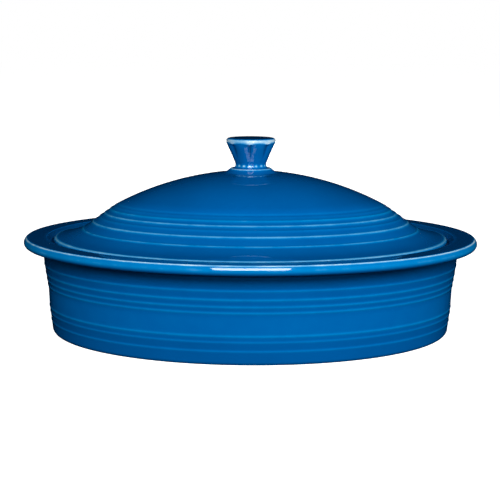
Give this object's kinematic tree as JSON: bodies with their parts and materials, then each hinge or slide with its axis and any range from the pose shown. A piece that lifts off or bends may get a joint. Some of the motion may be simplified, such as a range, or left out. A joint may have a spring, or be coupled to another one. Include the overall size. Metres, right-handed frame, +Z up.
{
  "type": "covered casserole dish",
  "caption": "Oval glazed ceramic casserole: a deep flanged dish with ridged walls and a stepped, domed lid that drops into its rim, lifted by a fluted knob.",
  "frame": {"origin": "middle of the plane that the foot ring stands on", "axes": "+X along the dish's length, +Y across it, +Z up through the knob"},
  "size_m": [0.33, 0.261, 0.141],
  "materials": {
    "glaze": "gloss"
  },
  "bodies": {
    "dish": {"dish": "glaze"},
    "lid": {"lid": "glaze", "lid_knob": "glaze"}
  },
  "joints": [
    {"name": "lid_lift", "type": "slide", "parent": "dish", "child": "lid", "axis": [0, 0, 1], "range_m": [0, 0.12]}
  ]
}
